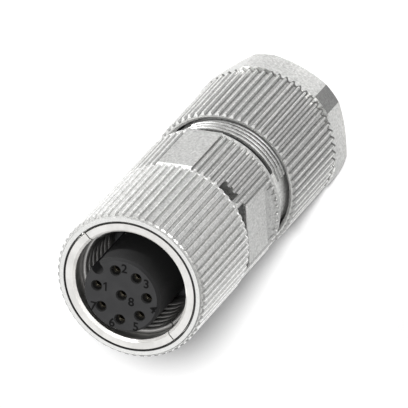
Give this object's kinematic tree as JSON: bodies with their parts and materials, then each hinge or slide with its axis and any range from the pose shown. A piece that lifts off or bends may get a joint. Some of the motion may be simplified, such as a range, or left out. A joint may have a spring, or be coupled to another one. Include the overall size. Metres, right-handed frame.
{
  "type": "m12 circular connector",
  "caption": "Straight metal cable socket with a knurled M12 coupling nut, a keyed contact insert, spanner flats and a screwed cable gland.",
  "frame": {"origin": "on the axis, at the rear face of the gland nut, on which the connector stands", "axes": "+Z runs along the axis from the cable end to the mating face; +X points to the coding keyway of the insert"},
  "size_m": [0.016, 0.0162, 0.0412],
  "materials": {
    "nickel_nut": "satin nickel plate on zinc die-casting",
    "nickel_body": "satin nickel plate on zinc die-casting",
    "nickel_turned": "bright nickel plate on turned brass",
    "insulator": "black glass-filled polyamide",
    "contact_metal": "gold-plated copper alloy",
    "seal_rubber": "black nitrile rubber",
    "cage_plastic": "natural polyamide"
  },
  "bodies": {
    "connector": {"housing": "nickel_body", "insert_shell": "nickel_turned", "contact_carrier": "insulator", "contact_retainer": "insulator", "insert_o_ring": "seal_rubber", "housing_o_ring": "seal_rubber", "shield_ring": "nickel_turned", "cable_seal": "seal_rubber", "contact_1": "contact_metal", "contact_2": "contact_metal", "contact_3": "contact_metal", "contact_4": "contact_metal", "contact_5": "contact_metal", "contact_6": "contact_metal", "contact_7": "contact_metal", "contact_8": "contact_metal"},
    "coupling_nut": {"nut_sleeve": "nickel_nut", "thread_half_a": "nickel_turned", "thread_half_b": "nickel_turned"},
    "clamp": {"clamp_cage": "cage_plastic"},
    "gland": {"gland_nut": "nickel_body"}
  },
  "joints": [
    {"name": "nut_spin", "type": "hinge", "parent": "connector", "child": "coupling_nut", "pos_m": [0, 0, 0.0273], "axis": [0, 0, 1], "continuous": true},
    {"name": "gland_travel", "type": "slide", "parent": "connector", "child": "clamp", "axis": [0, 0, 1], "range_m": [-0.00701, 0.00331], "deforming": ["cable_seal"]},
    {"name": "gland_turn", "type": "hinge", "parent": "clamp", "child": "gland", "pos_m": [0, 0, 0.0073], "axis": [0, 0, 1], "range_deg": [-4200, 1980]}
  ],
  "couplings": [
    {"joint": "gland_travel", "follows": "gland_turn", "m_per_rad": 0.000095493}
  ]
}
